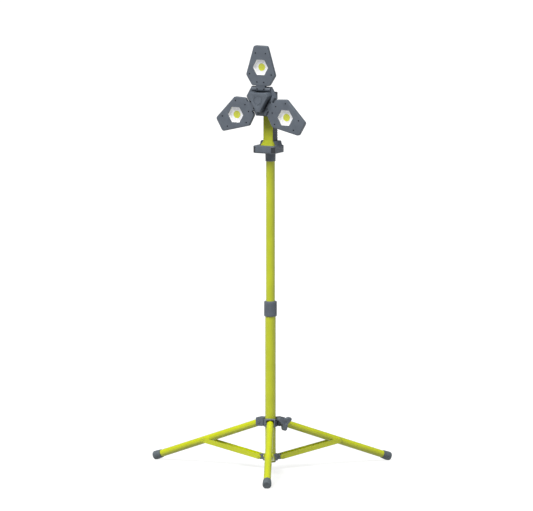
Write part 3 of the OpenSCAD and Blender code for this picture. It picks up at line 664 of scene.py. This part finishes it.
def disc(name, radius, bottom, top, middle=(0, 0), steps=32):
    piece = turned(name, [(0, bottom), (radius, bottom), (radius, top), (0, top)], steps)
    return turnTo(piece, moveBy(*middle))


sharpAngle = math.radians(35)
nearby = 0.1  # how close to a face an edge's ends are to count as on it
threeWays = (0, 120, 240)
noTurn = Matrix.Identity(4)
sideways = Matrix(((0, 0, 1, 0), (1, 0, 0, 0), (0, 1, 0, 0), (0, 0, 0, 1)))  # an outline's x, y become y, z

# Light panels: x across, y away from the hub, z to the front

panel = {
    "half": 6.8,
    "split": -1.0,
    "wall": 2.4,
    "root": 43.0,
    "reach": 164.0,
    "rootWidth": 66.0,
    "wideAt": 76.0,
    "width": 98.0,
    "tipWidth": 50.0,
    "corner": 8.0,
    "frontEdge": 2.4,
    "backEdge": 2.6,
    "round": 0.35,
    "window": 46.2,
    "windowAt": 98.5,
    "windowCorner": 2.6,
    "tabWidth": 30.6,
    "tabArm": 3.0,
    "tabSplit": 4.4,
    "barrel": 6.6,
    "hinge": 32.2,
    "bore": 2.6,
    "screws": [(11.7, 54), (37.2, 77.5), (17.2, 141)],
    "tabScrew": (11.3, 33),
    "headSink": 1.4,
    "headRadius": 2.4,
    "grooves": 9,
    "groovePitch": 8.0,
    "grooveLength": 44.0,
    "grooveWidth": 3.6,
    "grooveEnd": 1.7,
    "grooveDepth": 1.1,
    "past": 9.0,
}


def panelOutline(margin=0):
    corner = panel["corner"]
    half = [
        (panel["rootWidth"] / 2 - corner, panel["root"] + corner),
        (panel["width"] / 2 - corner, panel["wideAt"]),
        (panel["tipWidth"] / 2 - corner, panel["reach"] - corner),
    ]
    return softCorners(half + [(-x, y) for x, y in reversed(half)], corner - margin)


def screwPlaces():
    return [(side * x, y) for x, y in panel["screws"] + [panel["tabScrew"]] for side in (-1, 1)]


def tabPiece(name, isFront):
    # front or back part of the hinge tab: an arm, and its share of the barrel
    hinge, barrel, split = panel["hinge"], panel["barrel"], panel["tabSplit"]
    end = panel["root"] + panel["tabArm"]
    dip = math.degrees(math.asin(split / barrel))
    if isFront:
        outline = [(end, split), (end, barrel)] + arc((hinge, 0), barrel, 90, 180 - dip, 6)
    else:
        outline = [(end, split)] + arc((hinge, 0), barrel, 180 - dip, 270, 14) + [(end, -barrel)]
    half = panel["tabWidth"] / 2
    return turnTo(plate(name, outline, -half, half), sideways)


def makePanelFront():
    # bevelled moulded frame with a six-sided window and sunk screws
    half, past = panel["half"], panel["past"]
    front = plate("panelFront", panelOutline(), panel["split"], half)
    roundTop(front, panel["frontEdge"], 4, half)
    combine(front, plate("inside", panelOutline(panel["wall"]), -half, panel["tabSplit"]))
    combine(front, tabPiece("frontTab", True), "UNION")
    window = roundHexagon(panel["window"], panel["windowCorner"], (0, panel["windowAt"]))
    combine(front, plate("window", window, 0, past))
    for place in screwPlaces():
        combine(front, disc("sink", panel["headRadius"], half - panel["headSink"], past, place, 20))
    soften(front, panel["round"])
    return front


def makePanelBack():
    # back shell of the same outline, its face cut into cooling ribs
    half, past, pitch = panel["half"], panel["past"], panel["groovePitch"]
    back = plate("panelBack", panelOutline(), -half, panel["split"])
    roundBottom(back, panel["backEdge"], 1, -half)
    combine(back, plate("inside", panelOutline(panel["wall"]), panel["wall"] - half, past))
    combine(back, tabPiece("backTab", False), "UNION")
    bore = disc("bore", panel["bore"], -panel["tabWidth"], panel["tabWidth"])
    combine(back, turnTo(bore, moveBy(y=panel["hinge"]) @ sideways))
    first = panel["windowAt"] - pitch * (panel["grooves"] - 1) / 2
    slot = roundBox(panel["grooveLength"], panel["grooveWidth"], panel["grooveEnd"], (0, first))
    groove = plate("groove", slot, -past, panel["grooveDepth"] - half)
    repeat(groove, panel["grooves"], (0, pitch, 0))
    combine(back, groove)
    soften(back, panel["round"])
    return back


dish = {
    "floorFlats": 44.74,
    "spread": 1.14,
    "innerFlats": 40.94,
    "innerSpread": 1.15,
    "corner": 2.6,
    "floor": -3.2,
    "floorWall": 1.1,
    "top": 4.4,
    "lipRound": 0.3,
    "sourceRadius": 11.5,
    "sourceGap": 0.1,
    "boardSize": 28.0,
    "lensThick": 1.0,
    "lensGap": 0.2,
}


def makeReflector():
    # six-sided dish whose walls lean outward, with a hole for the light source in its floor
    outside = plate("reflector", roundHexagon(dish["floorFlats"], dish["corner"]), dish["floor"], dish["top"])
    taper(outside, (0, 0, 1), (dish["spread"], dish["spread"], 1))
    inside = plate("hollow", roundHexagon(dish["innerFlats"], dish["corner"]),
                   dish["floor"] + dish["floorWall"], dish["top"] + 0.5)
    taper(inside, (0, 0, 1), (dish["innerSpread"], dish["innerSpread"], 1))
    combine(outside, inside)
    combine(outside, disc("hole", dish["sourceRadius"] + dish["sourceGap"], -panel["past"], panel["past"]))
    soften(outside, dish["lipRound"])
    return turnTo(outside, moveBy(y=panel["windowAt"]))


def makeLightSource():
    # disc of phosphor inside a low dam ring, on its square board
    r, z = dish["sourceRadius"], dish["floor"]
    profile = [(0, z), (r, z), (r, z + 1.1), (r - 0.3, z + 1.4), (r - 0.9, z + 1.4), (r - 1.2, z + 1.1),
               (r - 1.6, z + 1.0), (r / 2, z + 1.15), (0, z + 1.2)]
    source = turned("led", profile, 48)
    square = roundBox(dish["boardSize"], dish["boardSize"], 1.5)
    board = plate("ledBoard", square, panel["wall"] - panel["half"], z)
    soften(board, 0.2)
    return turnTo(joinPieces([source, board]), moveBy(y=panel["windowAt"]))


def makeLens():
    outline = roundHexagon(panel["window"] - dish["lensGap"], panel["windowCorner"], (0, panel["windowAt"]))
    lens = plate("lens", outline, dish["top"], dish["top"] + dish["lensThick"])
    soften(lens, 0.2)
    return lens


screw = {"gap": 0.1, "length": 6.0, "shank": 1.15, "dome": 1.0, "socket": 1.9, "socketFloor": 0.2}


def makeScrew():
    # domed head with a six-sided socket, on a plain shank
    r, z = panel["headRadius"] - screw["gap"], panel["half"] - panel["headSink"]
    low, shank = z - screw["length"], screw["shank"]
    piece = turned("screw", [(0, low), (shank, low), (shank, z), (r, z), (r, z + 0.6), (r - 0.3, z + 0.9),
                             (0, z + screw["dome"])], 24)
    key = roundHexagon(screw["socket"], 0.15, steps=1)
    combine(piece, plate("socket", key, z + screw["socketFloor"], z + 3))
    return piece


panelModels = {
    "panel_front": ("grey_plastic", makePanelFront()),
    "panel_back": ("grey_plastic", makePanelBack()),
    "reflector": ("reflector_white", makeReflector()),
    "led": ("led_phosphor", makeLightSource()),
    "lens": ("clear_lens", makeLens()),
}
screwModel = makeScrew()
for name in panelNames:
    place, body = panelPlaces[name], "panel_" + name
    for part, (slot, model) in panelModels.items():
        settle(copyPiece(model, part + "Look_" + name), place, body, slot, [part + "_" + name])
    screws = [turnTo(copyPiece(screwModel, "screwLook_" + name), moveBy(*spot)) for spot in screwPlaces()]
    settle(joinPieces(screws), place, body, "blackened_steel", ["screws_" + name])
for model in [model for slot, model in panelModels.values()] + [screwModel]:
    bpy.data.objects.remove(model)
print("light panels made")

# Hub cover and mode button, in the hub's frame

hub = {
    "side": 24.6,
    "half": 30.6,
    "front": 23.2,
    "draft": 0.91,
    "wall": 2.4,
    "cornerRound": 1.6,
    "frontRound": 1.4,
    "notchSide": 22.3,
    "notchGap": 0.8,
    "notchEnd": 45.0,
    "buttonRadius": 14.6,
    "buttonGap": 0.3,
    "buttonRise": 0.6,
    "flange": 1.5,
    "stemRadius": 4.0,
    "stemEnd": 7.4,
}


def makeHubCover():
    # proud three-sided cover, slightly drafted, notched where the tabs lie
    side, half, front, wall = (hub[key] for key in ("side", "half", "front", "wall"))
    cover = plate("hubCover", cutTriangle(side, half), 0, front)
    taper(cover, (0, 0, 1), (hub["draft"], hub["draft"], 1))
    roundEdges(cover, hub["cornerRound"], 3, lambda a, b: abs(a.z - b.z) > front / 2)
    roundTop(cover, hub["frontRound"], 3, front)
    combine(cover, plate("inside", cutTriangle(hub["notchSide"] - wall, half - 2 * wall), -1, front - wall))
    combine(cover, disc("buttonHole", hub["buttonRadius"] + hub["buttonGap"], 0, 2 * front, steps=64))
    reach = panel["tabWidth"] / 2 + hub["notchGap"]
    for turn in threeWays:
        notch = block("notch", -reach, reach, hub["notchSide"], hub["notchEnd"], -1, 2 * front)
        combine(cover, turnTo(notch, turnAbout("Z", turn)))
    soften(cover, 0.3)
    return cover


def makeButton():
    # round button: a raised rim, a groove inside it and a shallow dish in the middle
    r, stem, top = hub["buttonRadius"], hub["stemRadius"], hub["front"] + hub["buttonRise"]
    under = hub["front"] - hub["wall"] - hub["buttonGap"]
    flange = r + hub["flange"]
    profile = [(0, hub["stemEnd"]), (stem, hub["stemEnd"]), (stem, under - hub["flange"]),
               (flange, under - hub["flange"]), (flange, under), (r, under), (r, top - 0.6), (r - 0.5, top),
               (r - 1.7, top), (r - 2.1, top - 0.9), (r - 3.0, top - 0.9), (r - 3.5, top - 0.3),
               (6, top - 0.5), (0, top - 0.7)]
    return turned("button", profile, 96)


settle(makeHubCover(), hubPlace, "lamp", "grey_plastic", ["hub_cover"])
settle(makeButton(), hubPlace, "mode_button", "grey_plastic", ["mode_button"])
print("hub made")

# Neck, in the lamp's frame: -y to the front

neck = {
    "width": 34.0,
    "depth": 36.0,
    "corner": 6.0,
    "split": -14.6,
    "bottom": 986.0,
    "top": 1146.0,
    "wall": 2.4,
    "crown": 2.6,
    "skirt": 14.0,
    "flare": 7.0,
    "ribs": 17,
    "ribPitch": 7.0,
    "ribWidth": 2.6,
    "ribDepth": 1.0,
    "ribStart": 24.0,
    "ribSetback": 3.0,
    "far": 60.0,
}
underLamp, overLamp = 900.0, 1200.0  # heights below and above the whole lamp


def neckShell(name, isFront):
    width, depth, corner, wall, far = (neck[key] for key in ("width", "depth", "corner", "wall", "far"))
    shell = plate(name, roundBox(width, depth, corner), neck["bottom"], neck["top"])
    roundTop(shell, neck["crown"], 4, neck["top"])
    if isFront:
        skirt = plate("skirt", roundBox(width, depth, corner), neck["bottom"], neck["bottom"] + neck["skirt"])
        taper(skirt, (0, 0, -1), (1 + 2 * neck["flare"] / width, 1 + 2 * neck["flare"] / depth, 1))
        combine(shell, skirt, "UNION")
    inside = roundBox(width - 2 * wall, depth - 2 * wall, corner - wall)
    combine(shell, plate("inside", inside, neck["bottom"] - 1, neck["top"] - wall))
    near, rear = (-far, neck["split"]) if isFront else (neck["split"], far)
    combine(shell, block("keep", -far, far, near, rear, underLamp, overLamp), "INTERSECT")
    return shell


def makeNeckGrip():
    # soft grip with finger ribs round its sides and back
    grip = neckShell("neckGripLook", False)
    depth, far = 2 * neck["ribDepth"], neck["far"]
    start = neck["bottom"] + neck["ribStart"]
    groove = plate("groove", roundBox(far, far, 5), start, start + neck["ribWidth"])
    core = roundBox(neck["width"] - depth, neck["depth"] - depth, 5)
    combine(groove, plate("core", core, underLamp, overLamp))
    behind = block("behind", -far, far, neck["split"] + neck["ribSetback"], far, underLamp, overLamp)
    combine(groove, behind, "INTERSECT")
    repeat(groove, neck["ribs"], (0, 0, neck["ribPitch"]))
    combine(grip, groove)
    soften(grip, 0.35)
    return grip


def makeNeckFront():
    front = neckShell("neckFrontLook", True)
    soften(front, 0.4)
    return front


settle(makeNeckFront(), lampPlace, "lamp", "lime_plastic", ["neck_front"])
settle(makeNeckGrip(), lampPlace, "lamp", "grip_plastic", ["neck_grip"])
print("neck made")

# Base of the lamp, in the lamp's frame

base = {
    "width": 74.0,
    "depth": 68.0,
    "corner": 9.0,
    "middle": -12.0,
    "bottom": 964.0,
    "split": 975.0,
    "seam": 0.25,
    "top": 986.0,
    "wall": 2.4,
    "bottomRound": 2.2,
    "topRound": 1.9,
    "bossRadius": 11.2,
    "bossTop": 985.0,
    "boreRadius": 8.1,
    "boreDepth": 19.0,
    "hump": 13.0,
    "humpWidth": 66.0,
    "humpBack": 20.5,
    "humpDraft": 4.0,
    "humpRound": 1.8,
    "portWidth": 54.0,
    "portHeight": 16.5,
    "portCorner": 5.0,
    "portDepth": 3.0,
    "portRise": 2.0,
    "portGap": 0.3,
    "portRound": 0.9,
    # the dark corner bands sized below are painted shade: a thin dark sheet over the base's front corners
    "shadeBandWidth": 10.0,
    "shadeBandRear": -37.0,
    "shadeBandThick": 0.5,
    "shadeBandProud": 0.02,
    "far": 80.0,
}
baseFront = base["middle"] - base["depth"] / 2


def baseOutline(margin):
    return roundBox(base["width"] - 2 * margin, base["depth"] - 2 * margin, base["corner"] - margin,
                    (0, base["middle"]), 8)


def portBlock(name, margin, depth, front):
    # rounded block lying on the base's front face
    outline = roundBox(base["portWidth"] + 2 * margin, base["portHeight"] + 2 * margin, base["portCorner"])
    place = moveBy(y=front, z=(base["bottom"] + base["top"]) / 2)
    return turnTo(plate(name, outline, 0, depth), place @ turnAbout("X", 90))


def cutPortSeat(piece):
    seat = portBlock("seat", base["portGap"], 2 * base["portDepth"], baseFront + base["portRise"])
    combine(piece, seat)


def makeBaseTray():
    # lower half of the housing: rolled bottom edge, round socket for the mast
    bottom, bossTop = base["bottom"], base["bossTop"]
    tray = plate("baseTrayLook", baseOutline(0), bottom, base["split"])
    roundBottom(tray, base["bottomRound"], 4, bottom)
    combine(tray, plate("inside", baseOutline(base["wall"]), bottom + base["wall"], base["top"]))
    bore, wall = base["boreRadius"], base["bossRadius"]
    boss = [(bore, bottom + 1), (wall, bottom + 1), (wall, bossTop), (bore, bossTop), (bore, bottom + 1)]
    combine(tray, turned("boss", boss), "UNION")
    combine(tray, disc("bore", bore, bottom - 1, bottom + base["boreDepth"]))
    cutPortSeat(tray)
    soften(tray, 0.3)
    return tray


def makeBaseCover():
    # upper half with the raised shoulder that wraps the neck's foot
    top = base["top"]
    cover = plate("baseCoverLook", baseOutline(0), base["split"] + base["seam"], top)
    roundTop(cover, base["topRound"], 4, top)
    depth = base["humpBack"] - neck["split"]
    shoulder = roundBox(base["humpWidth"], depth, base["corner"], steps=8)
    hump = plate("hump", shoulder, top - 2, top + base["hump"])
    taper(hump, (0, 0, 1), (1 - 2 * base["humpDraft"] / base["humpWidth"], 0.97, 1))
    roundTop(hump, base["humpRound"], 4, top + base["hump"])
    combine(cover, turnTo(hump, moveBy(y=base["humpBack"] - depth / 2)), "UNION")
    combine(cover, plate("inside", baseOutline(base["wall"]), base["split"] - 1, top - base["wall"]))
    neckHole = roundBox(neck["width"], neck["depth"], neck["corner"])
    combine(cover, plate("neckHole", neckHole, underLamp, overLamp))
    cutPortSeat(cover)
    soften(cover, 0.3)
    return cover


def makePortCover():
    # proud front plate over the charging port
    cover = portBlock("portCoverLook", 0, base["portDepth"], baseFront + base["portRise"])
    roundEdges(cover, base["portRound"], 3, lambda a, b: max(a.y, b.y) < baseFront - 0.9)
    return cover


def makeShadeBands():
    # dark bands round the base's front corners: painted shade, a thin dark sheet just proud of the housing
    # where the corners beside the port cover lie in shadow
    half, far = base["width"] / 2 - base["shadeBandWidth"], base["far"]
    shadeBands = plate("baseShadeBands", baseOutline(-base["shadeBandProud"]), base["bottom"] + base["wall"],
                   base["top"] - base["bottomRound"])
    combine(shadeBands, plate("inside", baseOutline(base["shadeBandThick"]), underLamp, overLamp))
    combine(shadeBands, block("middle", -half, half, -far, far, underLamp, overLamp))
    combine(shadeBands, block("rear", -far, far, base["shadeBandRear"], far, underLamp, overLamp))
    return shadeBands


settle(makeBaseTray(), lampPlace, "lamp", "grey_plastic", ["base_tray"])
settle(makeBaseCover(), lampPlace, "lamp", "grey_plastic", ["base_cover"])
settle(makePortCover(), lampPlace, "lamp", "grey_plastic", ["port_cover"])
# painted shade: a thin dark sheet over the base's front corners
settle(makeShadeBands(), lampPlace, "lamp", "dark_plastic")
print("base made")

# Turned parts of the mast

socket = {"mastBore": 13.55, "spigotBore": 8.1, "seat": 11.0}


def makeSocketCollar():
    # collar under the base: two rings and a rolled lower edge
    low, high = (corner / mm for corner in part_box("socket_collar"))
    r, z, top, bore = (high.x - low.x) / 2, low.z, high.z, socket["mastBore"]
    profile = [(bore, z), (r - 1.2, z), (r - 0.3, z + 0.4), (r, z + 1.2), (r, z + 4.2), (r - 0.7, z + 4.7),
               (r - 0.7, z + 6.2), (r, z + 6.7), (r, top - 2.6), (r - 0.6, top - 2.1), (r - 0.6, top - 1.0),
               (r - 1.0, top), (socket["spigotBore"], top), (socket["spigotBore"], z + socket["seat"]),
               (bore, z + socket["seat"]), (bore, z)]
    return turned("socketCollarLook", profile, 96)


twist = {"bore": 17.9, "neckBore": 13.6, "roof": 2.4, "flutes": 28, "fluteWidth": 1.6, "fluteDepth": 2.0}


def makeTwistCollar():
    # twist collar: a smooth lip at each end, grip flutes between them
    low, high = (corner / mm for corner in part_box("twist_collar"))
    r, z, top, roof = (high.x - low.x) / 2, low.z, high.z, high.z - twist["roof"]
    profile = [(twist["bore"], z), (r - 1.5, z), (r, z + 1.6), (r, z + 6), (r, top - 6), (r, top - 1.8),
               (r - 2.6, top), (twist["neckBore"], top), (twist["neckBore"], roof), (twist["bore"], roof),
               (twist["bore"], z)]
    body = turned("twistCollarLook", profile, 96)
    groove = roundBox(twist["fluteWidth"], twist["fluteDepth"], 0.7, (r + 0.3, 0), 3)
    flute = plate("flute", groove, z + 6, top - 9)
    flutes = [flute]
    for step in range(1, twist["flutes"]):
        flutes.append(turnTo(copyPiece(flute, "flute"), turnAbout("Z", 360 * step / twist["flutes"])))
    combine(body, joinPieces(flutes))
    soften(body, 0.25)
    return body


settle(makeSocketCollar(), noTurn, "mast", "grey_plastic", ["socket_collar"])
settle(makeTwistCollar(), noTurn, "twist_collar", "grey_plastic", ["twist_collar"])
print("mast parts made")

# Clamp knob, and the rivets and pins of the legs

knob = {
    "reach": 18.0,
    "lobe": 6.6,
    "lobeSweep": 80,
    "waist": 10.5,
    "edge": 1.4,
    "bore": 5.0,
    "boreDepth": 9.0,
    "dimple": 5.5,
    "dimpleDepth": 1.2,
    "gap": 0.05,
}


def knobPlace():
    # on the hinge it clamps, z outward along its axis
    middle = jointPoint("knob_turn")
    axis = jointAxis("knob_turn")
    if axis.dot(boxMiddle("clamp_knob") - middle) < 0:
        axis = -axis
    side = upward.cross(axis).normalized()
    return axes(middle, side, axis.cross(side), axis)


def makeKnob():
    # three-lobed knob with hollow flanks and a dimpled middle
    place = knobPlace()
    low, high = localBox("clamp_knob", place)
    bottom, top = low.z / mm, high.z / mm
    points = []
    for turn in threeWays:
        lobe, waist = math.radians(turn - 90), math.radians(turn - 30)
        centre = (knob["reach"] * math.cos(lobe), knob["reach"] * math.sin(lobe))
        points += arc(centre, knob["lobe"], turn - 90 - knob["lobeSweep"], turn - 90 + knob["lobeSweep"], 12)
        points.append((knob["waist"] * math.cos(waist), knob["waist"] * math.sin(waist)))
    body = plate("clampKnobLook", points, bottom + knob["gap"], top)
    roundTop(body, knob["edge"], 3, top)
    combine(body, disc("bore", knob["bore"], bottom - 1, bottom + knob["boreDepth"]))
    combine(body, disc("dimple", knob["dimple"], top - knob["dimpleDepth"], top + 3))
    soften(body, 0.3)
    settle(body, place, "clamp_knob", "grey_plastic", ["clamp_knob"])


rivet = {"shank": 2.45, "head": 4.2, "thick": 1.5, "hole": 1.6, "length": 3.0}
legPin = {"shank": 2.95, "head": 4.8, "thick": 1.5, "hole": 0.8}  # the right leg hinges on the knob's screw


def makeHead(name, size, inner, outer):
    # one end of a tubular rivet along Z: shank, head and the hole in its middle
    r, hole, under = size["head"], size["hole"], outer - size["thick"]
    profile = [(0, inner), (size["shank"], inner), (size["shank"], under), (r, under), (r, outer - 0.4),
               (r - 0.4, outer), (hole + 0.5, outer), (hole, outer - 0.5), (hole, outer - 1.1),
               (0, outer - 1.1)]
    return turned(name, profile, 40)


def makeRivets():
    # a head on each flange of every strut, where it meets its leg
    for leg in legNames:
        place = legPlaces[leg]
        low, high = localBox("rivets_" + leg, place)
        half = (high.y - low.y) / 2 / mm
        heads = []
        for side in (90, -90):
            head = makeHead("rivetLook_" + leg, rivet, half - rivet["length"], half)
            heads.append(turnTo(head, turnAbout("X", side)))
        middle = place @ Matrix.Translation((low + high) / 2)
        settle(joinPieces(heads), middle, "strut_" + leg, "painted_tube", ["rivets_" + leg])


def makePins(node, kind, legs, size, body, slot):
    # hinge pins of one ring, each right through with a head at both ends
    pins = []
    for leg in legs:
        hinge = jointPoint(kind + "_" + leg + "_hinge")
        axis = jointAxis(kind + "_" + leg + "_hinge")
        offsets = [vertex.co - hinge for vertex in nodes[node].data.vertices]
        near = 2 * size["shank"] * mm
        half = max(offset.dot(axis) for offset in offsets if offset.cross(axis).length < near) / mm
        place = Matrix.Translation(hinge) @ axis.to_track_quat("Z", "Y").to_matrix().to_4x4()
        for side in (0, 180):
            pins.append(makeHead(node + "Look", size, 0, half))
            turnTo(pins[-1], place @ turnAbout("X", side))
    settle(joinPieces(pins), noTurn, body, slot, [node])


makeKnob()
makeRivets()
makePins("ring_pins", "strut", legNames, rivet, "stand", "painted_tube")
makePins("leg_pins", "leg", ["front", "left"], legPin, "leg_collar", "grey_plastic")
print("knob and rivets made")


# CAD nodes that keep their shape: each takes the finish of its own slot

for name, node in nodes.items():
    for slot in node.material_slots:
        slot.material = finishes[slot.material.name]
